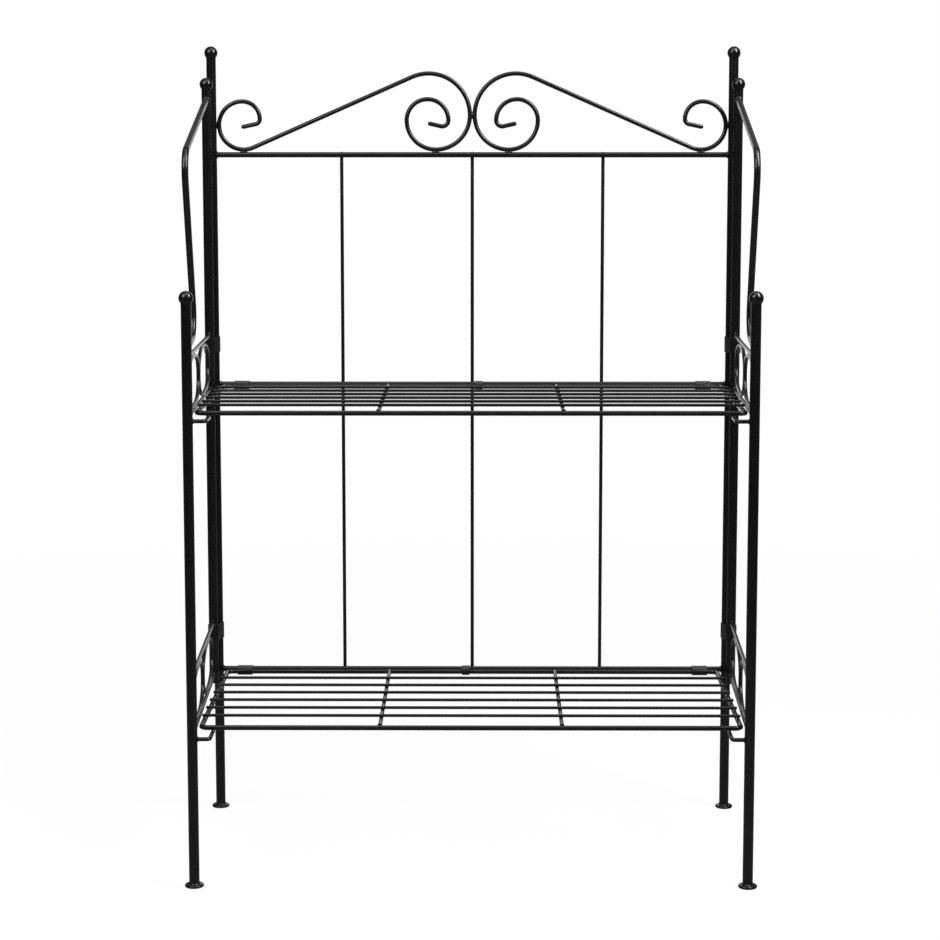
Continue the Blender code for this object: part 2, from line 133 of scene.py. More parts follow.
class WeldKind(Enum):
    """A weld round a butted rod's end, or a bead between two rods that lie against each other."""

    COLLAR = "collar"
    BEAD = "bead"


class Socket(Enum):
    """What a node group's socket carries."""

    NUMBER = "NodeSocketFloat"
    COUNT = "NodeSocketInt"
    PLACE = "NodeSocketVector"
    COLOUR = "NodeSocketColor"
    SHAPE = "NodeSocketGeometry"
    COAT = "NodeSocketMaterial"


# Node trees


def feed(tree: Tree, node: bpy.types.Node, feeds: Feeds) -> None:
    """Feed a node's inputs.

    Args:
        tree: The node's tree.
        node: The node.
        feeds: Each input's name or number, with the socket that feeds it or its own value.
    """
    for key, value in feeds.items():
        if isinstance(value, Plug):
            tree.links.new(value, node.inputs[key])
        else:
            node.inputs[key].default_value = value


def add_node(tree: Tree, kind: str, feeds: Feeds, output: str | int = 0, **settings: object) -> Plug:
    """Add a node to a tree.

    Args:
        tree: The tree that gets it.
        kind: The node's type.
        feeds: What feeds its inputs.
        output: The name or number of the output that is wanted.
        settings: The node's settings, such as its operation.

    Returns:
        That output.
    """
    node = tree.nodes.new(kind)
    for name, value in settings.items():
        setattr(node, name, value)
    feed(tree, node, feeds)
    return node.outputs[output]


def number(tree: Tree, operation: str, *terms: Plug | float) -> Plug:
    """Work out a number from other numbers."""
    return add_node(tree, "ShaderNodeMath", dict(enumerate(terms)), operation=operation)


def noise(tree: Tree, place: Plug, scale: Plug | float, detail: float) -> Plug:
    """Read a noise texture at a place."""
    feeds = {"Vector": place, "Scale": scale, "Detail": detail}
    return add_node(tree, "ShaderNodeTexNoise", feeds, "Fac")


def blended(tree: Tree, share: Plug, first: Plug, second: Plug) -> Plug:
    """Blend two colours by the second one's share."""
    feeds = {"Factor": share, "A": first, "B": second}
    return add_node(tree, "ShaderNodeMix", feeds, "Result", data_type="RGBA")


def new_group(
    name: str, kind: str, inputs: dict[str, Socket], outputs: dict[str, Socket]
) -> tuple[Tree, Plugs]:
    """Start a node group.

    Args:
        name: The group's name.
        kind: ShaderNodeTree or GeometryNodeTree.
        inputs: Its inputs' names and what they carry.
        outputs: Its outputs' names and what they carry.

    Returns:
        The group's tree, and what its inputs give, by name.
    """
    tree = bpy.data.node_groups.new(name, kind)
    for direction, sockets in (("INPUT", inputs), ("OUTPUT", outputs)):
        for label, socket in sockets.items():
            tree.interface.new_socket(label, in_out=direction, socket_type=socket.value)
    source = tree.nodes.new("NodeGroupInput")
    return tree, {plug.name: plug for plug in source.outputs}


# Finishes


def powder_coat_group() -> Tree:
    """Build the shared look of sprayed and baked powder: flow texture, fine flecks and uneven gloss.

    Returns:
        A shader group that puts out a colour, a roughness and a bump height.
    """
    inputs = {"Place": Socket.PLACE, "Coat": Socket.COLOUR, "Fleck": Socket.COLOUR}
    for size in ("Fleck Share", "Gloss Roughness", "Gloss Spread", "Flow Scale", "Fleck Scale"):
        inputs[size] = Socket.NUMBER
    outputs = {"Colour": Socket.COLOUR, "Roughness": Socket.NUMBER, "Height": Socket.NUMBER}
    tree, given = new_group("powder_coat", "ShaderNodeTree", inputs, outputs)
    place = given["Place"]
    band = {
        "Value": noise(tree, place, given["Fleck Scale"], FLECK_DETAIL),
        "From Min": FLECK_BAND[0],
        "From Max": FLECK_BAND[1],
        "To Max": given["Fleck Share"],
    }
    flecks = add_node(tree, "ShaderNodeMapRange", band)
    uneven = number(tree, "SUBTRACT", noise(tree, place, CLOUD_SCALE, CLOUD_DETAIL), NOISE_MIDDLE)
    looks = {
        "Colour": blended(tree, flecks, given["Coat"], given["Fleck"]),
        "Roughness": number(tree, "MULTIPLY_ADD", uneven, given["Gloss Spread"], given["Gloss Roughness"]),
        "Height": noise(tree, place, given["Flow Scale"], FLOW_DETAIL),
    }
    feed(tree, tree.nodes.new("NodeGroupOutput"), looks)
    return tree


def settled_dust_group() -> Tree:
    """Build the faint dust and the painted sheen on what faces up: a lighter colour there, partly real dust
    and partly a painted highlight that stands in for light falling from above.

    Returns:
        A shader group that puts out a colour lightened by the dust and painted sheen, and a roughness raised
        by them.
    """
    inputs = {"Place": Socket.PLACE, "Bare Coat": Socket.COLOUR, "Dust": Socket.COLOUR}
    for size in ("Clean Roughness", "Amount", "Least Slope"):
        inputs[size] = Socket.NUMBER
    outputs = {"Colour": Socket.COLOUR, "Roughness": Socket.NUMBER}
    tree, given = new_group("settled_dust", "ShaderNodeTree", inputs, outputs)
    facing = add_node(tree, "ShaderNodeNewGeometry", {}, "Normal")
    rise = add_node(tree, "ShaderNodeSeparateXYZ", {"Vector": facing}, "Z")
    # Upward faces take a lighter colour: partly settled dust, partly a painted highlight standing in for
    # light from above.
    slope = {"Value": rise, "From Min": given["Least Slope"], "From Max": 1.0}
    upward = add_node(tree, "ShaderNodeMapRange", slope)
    patchy = number(tree, "MULTIPLY", upward, noise(tree, given["Place"], GRAIN_SCALE, GRAIN_DETAIL))
    mask = number(tree, "MULTIPLY", patchy, given["Amount"])
    looks = {
        "Colour": blended(tree, mask, given["Bare Coat"], given["Dust"]),
        "Roughness": number(tree, "MULTIPLY_ADD", mask, DUST_AND_SHEEN_ROUGHENING, given["Clean Roughness"]),
    }
    feed(tree, tree.nodes.new("NodeGroupOutput"), looks)
    return tree


@dataclass(frozen=True)
class PowderCoat:
    """One black powder-coat finish."""

    slot: str
    coat: Triple
    fleck: Triple
    fleck_share: float
    roughness: float
    roughness_spread: float
    flow_scale: float
    flow_strength: float
    flow_depth: float = 0.00005
    fleck_scale: float = 2600.0
    # Lighter colour on upward faces, its amount and the least slope that takes it: partly faint dust, partly
    # a painted sheen standing in for light from above.
    dust: Triple = (0.16, 0.155, 0.145)
    dust_amount: float = 0.05
    dust_least_slope: float = 0.55
    specular: float = 0.5

    def material(self, coat: Tree, dust: Tree) -> bpy.types.Material:
        """Build the finish's material.

        Args:
            coat: The powder coat group.
            dust: The group of faint dust and painted sheen on what faces up.

        Returns:
            The material, on Object coordinates.
        """
        material = bpy.data.materials.new(f"dressed_{self.slot}")
        material.use_nodes = True
        tree = material.node_tree
        place = add_node(tree, "ShaderNodeTexCoord", {}, "Object")
        sprayed = {
            "Place": place,
            "Coat": (*self.coat, 1.0),
            "Fleck": (*self.fleck, 1.0),
            "Fleck Share": self.fleck_share,
            "Gloss Roughness": self.roughness,
            "Gloss Spread": self.roughness_spread,
            "Flow Scale": self.flow_scale,
            "Fleck Scale": self.fleck_scale,
        }
        powder = add_node(tree, "ShaderNodeGroup", sprayed, node_tree=coat).node.outputs
        # Lighten the upward faces with dust and a painted sheen of light from above.
        dust_and_sheen_feeds = {
            "Place": place,
            "Bare Coat": powder["Colour"],
            "Clean Roughness": powder["Roughness"],
            "Dust": (*self.dust, 1.0),
            "Amount": self.dust_amount,
            "Least Slope": self.dust_least_slope,
        }
        dust_and_sheen_looks = add_node(tree, "ShaderNodeGroup", dust_and_sheen_feeds, node_tree=dust).node.outputs
        flow = {"Height": powder["Height"], "Strength": self.flow_strength, "Distance": self.flow_depth}
        surface = {
            "Base Color": dust_and_sheen_looks["Colour"],
            "Roughness": dust_and_sheen_looks["Roughness"],
            "Normal": add_node(tree, "ShaderNodeBump", flow),
            "Metallic": 0.0,
            "IOR": COAT_IOR,
            "Specular IOR Level": self.specular,
        }
        feed(tree, tree.nodes["Principled BSDF"], surface)
        return material


POST_FINISH = PowderCoat(
    slot="post_coat",
    coat=(0.0032, 0.0032, 0.0034),
    fleck=(0.007, 0.007, 0.0074),
    fleck_share=0.5,
    roughness=0.20,
    roughness_spread=0.10,
    flow_scale=420.0,
    flow_strength=0.06,
)
ROD_FINISH = PowderCoat(
    slot="rod_coat",
    coat=(0.0048, 0.0048, 0.0051),
    fleck=(0.010, 0.010, 0.0105),
    fleck_share=0.5,
    roughness=0.22,
    roughness_spread=0.12,
    flow_scale=480.0,
    flow_strength=0.06,
)
STRAP_FINISH = PowderCoat(
    slot="strap_coat",
    coat=(0.0045, 0.0045, 0.0048),
    fleck=(0.010, 0.010, 0.0105),
    fleck_share=0.6,
    roughness=0.28,
    roughness_spread=0.10,
    flow_scale=380.0,
    flow_strength=0.1,
    # Painted highlight: the upward faces of the clips and bands take a pale grey that stands in for the light
    # their tops catch, not dust.
    dust=(0.33, 0.33, 0.32),
    dust_amount=0.45,
    dust_least_slope=0.88,
    specular=0.28,
)


def mix_coats() -> dict[str, bpy.types.Material]:
    """Build every finish's material.

    Returns:
        The materials, by their slots.
    """
    coat = powder_coat_group()
    dust = settled_dust_group()
    return {finish.slot: finish.material(coat, dust) for finish in (POST_FINISH, ROD_FINISH, STRAP_FINISH)}


# Geometry node trees


def new_geometry_tree(name: str, sizes: dict[str, Socket]) -> tuple[Tree, Plugs]:
    """Start a tree with a geometry input and output, sizes and a material."""
    inputs = {"Geometry": Socket.SHAPE, **sizes, "Material": Socket.COAT}
    return new_group(name, "GeometryNodeTree", inputs, {"Geometry": Socket.SHAPE})


def close_tree(tree: Tree, shape: Plug, coat: Plug) -> None:
    """End a tree in Realize Instances and Set Material.

    Args:
        tree: The tree to end.
        shape: What gives its geometry.
        coat: What gives its material.
    """
    real = add_node(tree, "GeometryNodeRealizeInstances", {"Geometry": shape})
    coated = add_node(tree, "GeometryNodeSetMaterial", {"Geometry": real, "Material": coat})
    feed(tree, tree.nodes.new("NodeGroupOutput"), {"Geometry": coated})


def attribute(tree: Tree, name: str, kind: str) -> Plug:
    """Read an attribute of the incoming points, of the kind FLOAT or FLOAT_VECTOR."""
    return add_node(tree, "GeometryNodeInputNamedAttribute", {"Name": name}, "Attribute", data_type=kind)


def circle(tree: Tree, sides: Plug | int, radius: Plug | float) -> Plug:
    """Draw a circle of straight sides."""
    return add_node(tree, "GeometryNodeCurvePrimitiveCircle", {"Resolution": sides, "Radius": radius})


def swept_rod_tree() -> Tree:
    """Build the tree that sweeps a round rod along a line of points.

    Returns:
        A tree with the inputs Radius and Sides, which thins the rod by its points' girth.
    """
    tree, given = new_geometry_tree("swept_rod", {"Radius": Socket.NUMBER, "Sides": Socket.COUNT})
    sweep = {
        "Curve": add_node(tree, "GeometryNodeMeshToCurve", {"Mesh": given["Geometry"]}),
        "Profile Curve": circle(tree, given["Sides"], given["Radius"]),
        "Scale": attribute(tree, "girth", "FLOAT"),
        "Fill Caps": True,
    }
    close_tree(tree, add_node(tree, "GeometryNodeCurveToMesh", sweep), given["Material"])
    return tree


def wire_row(tree: Tree, given: Plugs, prefix: str, turn: Triple) -> Plug:
    """Add a row of like wires to a rack tree.

    Args:
        tree: The rack tree.
        given: What its inputs give.
        prefix: Wire or Bar, which the row's inputs start with.
        turn: The turn that lays an upright wire along its row's axis.

    Returns:
        What gives the row.
    """
    line = {
        "Count": given[f"{prefix} Count"],
        "Start Location": given[f"{prefix} First"],
        "Offset": given[f"{prefix} Pitch"],
    }
    size = {
        "Vertices": given["Sides"],
        "Radius": given[f"{prefix} Radius"],
        "Depth": given[f"{prefix} Length"],
    }
    wire = add_node(tree, "GeometryNodeMeshCylinder", size)
    row = {
        "Points": add_node(tree, "GeometryNodeMeshLine", line),
        "Instance": add_node(tree, "GeometryNodeTransform", {"Geometry": wire, "Rotation": turn}),
    }
    return add_node(tree, "GeometryNodeInstanceOnPoints", row)


def wire_rack_tree() -> Tree:
    """Build the tree that lays a shelf's long wires over its cross bars.

    Returns:
        A tree with a count, first place, pitch, length and radius for the wires and for the bars.
    """
    turns = {"Wire": (0.0, QUARTER, 0.0), "Bar": (QUARTER, 0.0, 0.0)}
    sizes = {"Sides": Socket.COUNT}
    for prefix in turns:
        sizes[f"{prefix} Count"] = Socket.COUNT
        sizes[f"{prefix} First"] = Socket.PLACE
        sizes[f"{prefix} Pitch"] = Socket.PLACE
        sizes[f"{prefix} Length"] = Socket.NUMBER
        sizes[f"{prefix} Radius"] = Socket.NUMBER
    tree, given = new_geometry_tree("wire_rack", sizes)
    join = tree.nodes.new("GeometryNodeJoinGeometry")
    for prefix, turn in turns.items():
        feed(tree, join, {"Geometry": wire_row(tree, given, prefix, turn)})
    close_tree(tree, join.outputs["Geometry"], given["Material"])
    return tree


def weld_shape(tree: Tree, kind: WeldKind) -> Plug:
    """Add one weld of unit size to a weld tree.

    Args:
        tree: The weld tree.
        kind: A collar round Z, or a bead along Z.

    Returns:
        What gives the weld.
    """
    if kind is WeldKind.COLLAR:
        ring = circle(tree, COLLAR_SIDES, COLLAR_RADIUS)
        section = circle(tree, COLLAR_BEAD_SIDES, COLLAR_BEAD_RADIUS)
        return add_node(tree, "GeometryNodeCurveToMesh", {"Curve": ring, "Profile Curve": section})
    size = {"Segments": BEAD_SEGMENTS, "Rings": BEAD_RINGS, "Radius": BEAD_RADIUS}
    ball = add_node(tree, "GeometryNodeMeshUVSphere", size)
    return add_node(tree, "GeometryNodeTransform", {"Geometry": ball, "Scale": (1.0, 1.0, BEAD_STRETCH)})


def weld_tree(kind: WeldKind) -> Tree:
    """Build the tree that sets a slightly lumpy weld at each point.

    Args:
        kind: The weld's shape.

    Returns:
        A tree with the inputs Lump Scale and Lump Height, on points with an axis and a reach.
    """
    sizes = {"Lump Scale": Socket.NUMBER, "Lump Height": Socket.NUMBER}
    tree, given = new_geometry_tree(f"weld_{kind.value}", sizes)
    heading = {"Vector": attribute(tree, "axis", "FLOAT_VECTOR")}
    welds = {
        "Points": given["Geometry"],
        "Instance": weld_shape(tree, kind),
        "Rotation": add_node(tree, "FunctionNodeAlignRotationToVector", heading, axis="Z"),
        "Scale": attribute(tree, "reach", "FLOAT"),
    }
    smooth = add_node(tree, "GeometryNodeInstanceOnPoints", welds)
    real = add_node(tree, "GeometryNodeRealizeInstances", {"Geometry": smooth})
    place = add_node(tree, "GeometryNodeInputPosition", {})
    lumps = number(tree, "SUBTRACT", noise(tree, place, given["Lump Scale"], LUMP_DETAIL), NOISE_MIDDLE)
    height = number(tree, "MULTIPLY", lumps, given["Lump Height"])
    facing = add_node(tree, "GeometryNodeInputNormal", {}, "Normal")
    offset = add_node(tree, "ShaderNodeVectorMath", {0: facing, "Scale": height}, operation="SCALE")
    lumpy = add_node(tree, "GeometryNodeSetPosition", {"Geometry": real, "Offset": offset})
    close_tree(tree, lumpy, given["Material"])
    return tree


# Lines that rods are bent to


def arc_points(centre: Vector, first: Vector, axis: Vector, turn: float) -> list[Vector]:
    """List the points of an arc.

    Args:
        centre: The arc's centre.
        first: The way from the centre to its first point.
        axis: The axis that it turns about.
        turn: The angle that it turns through.

    Returns:
        Its points, first and last among them.
    """
    steps = max(2, math.ceil(abs(turn) / ARC_STEP))
    return [centre + Quaternion(axis, turn * step / steps) @ first for step in range(steps + 1)]


def bend(before: Vector, corner: Vector, after: Vector, radius: float) -> list[Vector]:
    """Round one corner of a line.

    Args:
        before: The corner before it.
        corner: The corner to round.
        after: The corner after it.
        radius: The bend's radius.

    Returns:
        The points of the bend.
    """
    back = (before - corner).normalized()
    ahead = (after - corner).normalized()
    half = back.angle(ahead) / 2
    centre = corner + (back + ahead).normalized() * radius / math.sin(half)
    first = corner + back * radius / math.tan(half) - centre
    return arc_points(centre, first, back.cross(ahead), 2 * half - math.pi)


@dataclass
class RodLine:
    """The line that a rod is bent along, the rod's radius and how its ends are finished."""

    points: Sequence[Vector]
    radius: float
    closed: bool = False
    ends: RoundedEnds = RoundedEnds.NEITHER

    def with_ends(self) -> tuple[list[Vector], list[float]]:
        """Add the points that round the rod's ends.

        Returns:
            The points, and the rod's girth at each as a share of its radius.
        """
        points = [Vector(point) for point in self.points]
        girths = [1.0] * len(points)
        for is_rounded in self.ends.value:
            points.reverse()
            girths.reverse()
            if not is_rounded:
                continue
            reach = (points[-1] - points[-2]).normalized() * self.radius
            base = points[-1] - reach
            points[-1] = base
            for step in range(1, END_STEPS + 1):
                angle = QUARTER * step / (END_STEPS + END_FLAT)
                points.append(base + reach * math.sin(angle))
                girths.append(math.cos(angle))
        return points, girths


# What the frame's boxes tell


def middle_of(node: str) -> Vector:
    """Find the middle of a node's box."""
    low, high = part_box(node)
    return (low + high) / 2


def thickness_of(node: str) -> float:
    """Find the least side of a node's box."""
    low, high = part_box(node)
    return min(high - low)


def bar_ends(node: str, axis: int) -> tuple[Vector, Vector]:
    """Find the middles of a straight bar's lower and upper ends.

    Args:
        node: The bar's node.
        axis: The axis that it lies along, 0 for X and 2 for Z.

    Returns:
        The two points.
    """
    low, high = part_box(node)
    first = (low + high) / 2
    last = first.copy()
    first[axis] = low[axis]
    last[axis] = high[axis]
    return first, last


@dataclass(frozen=True)
class Upright:
    """A round upright piece: its axis at floor level, its radius and the heights of its ends."""

    axis: Vector
    radius: float
    bottom: float
    top: float

    @classmethod
    def of(cls, node: str) -> "Upright":
        """Measure a node."""
        low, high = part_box(node)
        axis = Vector(((low.x + high.x) / 2, (low.y + high.y) / 2, 0.0))
        return cls(axis, (high.y - low.y) / 2, low.z, high.z)

    @property
    def ball_height(self) -> float:
        """Give the height of the middle of a ball that ends at the top."""
        return self.top - self.radius


# Sub-assemblies


def put(data: bpy.types.ID) -> bpy.types.Object:
    """Put a mesh, a light or a camera into the scene, under its own name."""
    item = bpy.data.objects.new(data.name, data)
    bpy.context.scene.collection.objects.link(item)
    return item


@dataclass
class Workshop:
    """The node trees that shape rods, racks and welds, and the finishes' materials."""

    rod_tree: Tree = field(default_factory=swept_rod_tree)
    rack_tree: Tree = field(default_factory=wire_rack_tree)
    weld_trees: dict[WeldKind, Tree] = field(
        default_factory=lambda: {kind: weld_tree(kind) for kind in WeldKind}
    )
    coats: dict[str, bpy.types.Material] = field(default_factory=mix_coats)


@dataclass(frozen=True)
class Weld:
    """One weld's place, the direction that it runs round or along, and the size of its rod."""

    place: Vector
    axis: Vector
    reach: float


@dataclass
class Assembly:
    """Pieces that ride on one body, and the welds that hold them together."""

    shop: Workshop
    body: str
    collars: list[Weld] = field(default_factory=list, init=False)
    beads: list[Weld] = field(default_factory=list, init=False)

    def fit(self, piece: bpy.types.Object, finish: PowderCoat, *nodes: str) -> None:
        """Turn a piece into a plain, smoothly shaded mesh, and set it on the body.

        Args:
            piece: The piece, with the modifiers that shape it.
            finish: Its finish.
            nodes: The nodes that it stands for.
        """
        bpy.context.view_layer.update()
        evaluated = piece.evaluated_get(bpy.context.evaluated_depsgraph_get())
        mesh = bpy.data.meshes.new_from_object(evaluated)
        piece.modifiers.clear()
        piece.data = mesh
        mesh.name = piece.name
        mesh.shade_smooth()
        mesh.set_sharp_from_angle(angle=SMOOTH_ANGLE)
        if not mesh.materials:
            mesh.materials.append(self.shop.coats[finish.slot])
        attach(piece, self.body)
        if nodes:
            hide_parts(*nodes)
        LOG.info("%s rides on %s, %d faces", piece.name, self.body, len(mesh.polygons))

    def grow(self, mesh: bpy.types.Mesh, tree: Tree, sizes: dict[str, object], *nodes: str) -> None:
        """Run a geometry tree on a mesh, and fit the result in the rods' finish.

        Args:
            mesh: The mesh that the tree starts from.
            tree: The tree.
            sizes: The tree's sizes, by name.
            nodes: The nodes that the result stands for.
        """
        piece = put(mesh)
        modifier = piece.modifiers.new("grow", "NODES")
        modifier.node_group = tree
        values = {**sizes, "Material": self.shop.coats[ROD_FINISH.slot]}
        for item in tree.interface.items_tree:
            if item.in_out == "INPUT" and item.name in values:
                modifier[item.identifier] = values[item.name]
        self.fit(piece, ROD_FINISH, *nodes)

    def rod(self, node: str, *lines: RodLine) -> None:
        """Sweep round rods along lines, as one piece.

        Args:
            node: The node that it stands for.
            lines: The rods' lines, which share one radius.
        """
        points = []
        girths = []
        edges = []
        for line in lines:
            first = len(points)
            more_points, more_girths = line.with_ends()
            points += more_points
            girths += more_girths
            last = len(points) - 1
            edges += [(index, index + 1) for index in range(first, last)]
            if line.closed:
                edges.append((last, first))
        mesh = bpy.data.meshes.new(f"{node}_dressed")
        mesh.from_pydata(points, edges, [])
        mesh.attributes.new("girth", "FLOAT", "POINT").data.foreach_set("value", girths)
        self.grow(mesh, self.shop.rod_tree, {"Radius": lines[0].radius, "Sides": ROD_SIDES}, node)

    def skin(
        self, node: str, finish: PowderCoat, rings: Sequence[Sequence[Vector]], looped: bool = False
    ) -> None:
        """Skin a row of rings of points.

        Args:
            node: The node that the piece stands for.
            finish: Its finish.
            rings: The rings, where one of a single point is a pole.
            looped: Whether the last ring joins the first.
        """
        shape = bmesh.new()
        rows = [[shape.verts.new(point) for point in ring] for ring in rings]
        if looped:
            rows.append(rows[0])
        for upper, lower in zip(rows, rows[1:]):
            count = max(len(upper), len(lower))
            for step in range(count):
                after = (step + 1) % count
                corners = [upper[step % len(upper)], lower[step % len(lower)]]
                if len(lower) > 1:
                    corners.append(lower[after])
                if len(upper) > 1:
                    corners.append(upper[after])
                shape.faces.new(corners)
        bmesh.ops.recalc_face_normals(shape, faces=shape.faces)
        mesh = bpy.data.meshes.new(f"{node}_dressed")
        shape.to_mesh(mesh)
        shape.free()
        self.fit(put(mesh), finish, node)

    def weld(self) -> None:
        """Set the welds that were noted on the way, as one piece of each kind."""
        sizes = {"Lump Scale": LUMP_SCALE, "Lump Height": LUMP_HEIGHT}
        for kind, welds in ((WeldKind.COLLAR, self.collars), (WeldKind.BEAD, self.beads)):
            mesh = bpy.data.meshes.new(f"{self.body}_weld_{kind.value}s")
            mesh.from_pydata([weld.place for weld in welds], [], [])
            axes = [part for weld in welds for part in weld.axis]
            mesh.attributes.new("axis", "FLOAT_VECTOR", "POINT").data.foreach_set("vector", axes)
            reaches = [weld.reach for weld in welds]
            mesh.attributes.new("reach", "FLOAT", "POINT").data.foreach_set("value", reaches)
            self.grow(mesh, self.shop.weld_trees[kind], sizes)


@dataclass
class PostedFrame(Assembly):
    """A sub-assembly with straight posts, ball finials and disc feet."""

    _: KW_ONLY
    edge: float = 0.0003
    weld_edge: float = 0.000075
    neck_drop: float = 0.0013
    neck_swell: float = 0.00018
    ball_steps: int = 22
    foot_edge: float = 0.0012
    foot_edge_steps: int = 7
    foot_collar_rise: float = 0.0016
    foot_collar_reach: float = 0.0016
    foot_collar_steps: int = 5
    foot_dome: float = 0.0004

    def turned(self, node: str, profile: Sequence[Span], axis: Vector) -> None:
        """Turn a profile about an upright axis.

        Args:
            node: The node that the piece stands for.
            profile: Points of radius and height, from the top of the axis to its bottom.
            axis: A point on the axis, whose height is added to the profile's.
        """
        rings = []
        for radius, height in profile:
            count = TURNED_SEGMENTS if radius else 1
            angles = [2 * math.pi * step / count for step in range(count)]
            ring = [Vector((radius * math.cos(a), radius * math.sin(a), height)) for a in angles]
            rings.append([axis + point for point in ring])
        self.skin(node, POST_FINISH, rings)

    def post(self, node: str) -> None:
        """Dress one straight tube, with its edges broken.

        Args:
            node: The post's node.
        """
        tube = Upright.of(node)
        inside = tube.radius - self.edge
        profile = [
            (0.0, tube.top),
            (inside, tube.top),
            (tube.radius, tube.top - self.edge),
            (tube.radius, tube.bottom + self.edge),
            (inside, tube.bottom),
            (0.0, tube.bottom),
        ]
        self.turned(node, profile, tube.axis)

    def finial(self, node: str, post: str) -> None:
        """Dress one ball, with the neck that it is welded on by.

        Args:
            node: The finial's node.
            post: The node of the post that it sits on.
        """
        ball = Upright.of(node)
        post_radius = Upright.of(post).radius
        neck = post_radius + self.neck_swell
        sweep = QUARTER + math.acos((neck + self.neck_swell) / ball.radius)
        angles = [QUARTER - sweep * step / self.ball_steps for step in range(1, self.ball_steps + 1)]
        round_side = [(ball.radius * math.cos(a), ball.radius * math.sin(a)) for a in angles]
        under = round_side[-1][1]
        profile = [
            (0.0, ball.radius),
            *round_side,
            (neck, under - self.neck_drop / 2),
            (post_radius + self.weld_edge, under - self.neck_drop),
            (0.0, under - self.neck_drop),
        ]
        self.turned(node, profile, ball.axis + UPRIGHT * ball.ball_height)

    def foot(self, node: str, post: str) -> None:
        """Dress one disc foot: a rounded rim, a low dome and the weld round the post.

        Args:
            node: The foot's node.
            post: The node of the post that it carries.
        """
        disc = Upright.of(node)
        post_radius = Upright.of(post).radius
        top = disc.top - disc.bottom
        collar_top = top + self.foot_collar_rise
        collar = []
        for step in range(self.foot_collar_steps + 1):
            angle = QUARTER * step / self.foot_collar_steps
            out = self.foot_collar_reach * (1.0 - math.cos(angle))
            down = self.foot_collar_rise * math.sin(angle)
            collar.append((post_radius + self.weld_edge + out, collar_top - down))
        dome = (post_radius + self.foot_collar_reach + self.edge, top)
        half = (top - self.foot_dome) / 2
        rim = []
        for step in range(1, self.foot_edge_steps):
            angle = QUARTER - math.pi * step / self.foot_edge_steps
            inset = self.foot_edge * (1.0 - math.cos(angle))
            rim.append((disc.radius - inset, half + half * math.sin(angle)))
        profile = [(0.0, collar_top), *collar, dome, *rim, (0.0, 0.0)]
        self.turned(node, profile, disc.axis + UPRIGHT * disc.bottom)


@dataclass(frozen=True)
class CrestCurl:
    """One curl of the crest scroll: its arcs' radii from the outside in, then a tight bend and a tail."""

    radii: tuple[float, ...]
    bend: float
    bend_turn: float
    tail: float


@dataclass
class BackFrame(PostedFrame):
    """The two tall posts with their rails, upright wires and crest of two scrolls."""

    wire_trim: float = 0.0026
    crest_weld: float = 1.1
    small: CrestCurl = CrestCurl((0.028, 0.027, 0.020), 0.006, math.radians(78.0), 0.017)
    large: CrestCurl = CrestCurl((0.0475, 0.0393, 0.0335, 0.024), 0.007, math.radians(103.0), 0.0155)

    def build(self) -> None:
        """Build and dress every piece of the frame."""
        for side in Side:
            post = f"back_post_{side.label}"
            self.post(post)
            self.finial(f"back_finial_{side.label}", post)
            self.foot(f"back_foot_{side.label}", post)
            self.crest(side)
        for rail in RAILS:
            ends = bar_ends(rail, 0)
            radius = thickness_of(rail) / 2
            self.rod(rail, RodLine(ends, radius))
            self.collars += [Weld(end, ACROSS, radius) for end in ends]
        trim = UPRIGHT * self.wire_trim
        for wire in WIRES:
            low, high = bar_ends(wire, 2)
            radius = thickness_of(wire) / 2
            self.rod(wire, RodLine([low + trim, high - trim], radius, ends=RoundedEnds.BOTH))
            for rail in RAILS:
                touch = Vector((low.x, low.y - radius, middle_of(rail).z))
                self.beads.append(Weld(touch, ACROSS, radius))
        self.weld()

    def curl(self, shape: CrestCurl, centre: Vector, start: float, ends: Sequence[float]) -> list[Vector]:
        """Wind one curl clockwise, as it is seen from the front.

        Args:
            shape: The curl.
            centre: The first arc's centre.
            start: The angle at which the straight runs into it.
            ends: The angle at which each arc ends.

        Returns:
            Points in the plane of the crest, from the straight inwards.
        """
        angle = start
        points = []
        radii = [*shape.radii, shape.bend]
        for index, end in enumerate([*ends, ends[-1] - shape.bend_turn]):
            radius = radii[index]
            first = Vector((radius * math.cos(angle), 0.0, radius * math.sin(angle)))
            if index:
                centre = centre + first * (radii[index - 1] / radius - 1.0)
                points.pop()
            points += arc_points(centre, first, INWARD, angle - end)
            angle = end
        points.append(points[-1] + shape.tail * Vector((math.sin(angle), 0.0, -math.cos(angle))))
        return points

    def crest(self, side: Side) -> None:
        """Bend and dress one scroll, worked out for the left side, and note its welds.

        Args:
            side: The side that it is on.
        """
        low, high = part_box("crest_scroll_left")
        radius = (high.y - low.y) / 2
        depth = (low.y + high.y) / 2
        rail_top = low.z + radius
        small_entry = self.small.radii[0]
        large_entry, large_foot = self.large.radii[:2]
        small = Vector((low.x + radius + small_entry, depth, rail_top + small_entry))
        large = Vector((high.x - radius - large_entry, depth, rail_top + large_foot))
        between = large - small
        slope = math.atan2(between.z, between.x)
        slope += math.asin((small_entry + large_entry) / between.length)
        outer = self.curl(self.small, small, slope - QUARTER, [-2 * QUARTER, -3 * QUARTER, -4 * QUARTER])
        inner = self.curl(self.large, large, slope + QUARTER, [0.0, -QUARTER, -2 * QUARTER, -4 * QUARTER])
        mirror = Vector((-side.value, 1.0, 1.0))
        points = [point * mirror for point in (*reversed(outer), *inner)]
        self.rod(f"crest_scroll_{side.label}", RodLine(points, radius, ends=RoundedEnds.BOTH))
        touches = [
            (Vector((small.x, depth, low.z)), ACROSS),
            (Vector((high.x - radius - large_foot, depth, low.z)), ACROSS),
            (Vector((low.x, depth, small.z)), UPRIGHT),
        ]
        if side is Side.RIGHT:
            touches.append((Vector((0.0, depth, large.z)), UPRIGHT))
        self.beads += [Weld(touch * mirror, axis, radius * self.crest_weld) for touch, axis in touches]


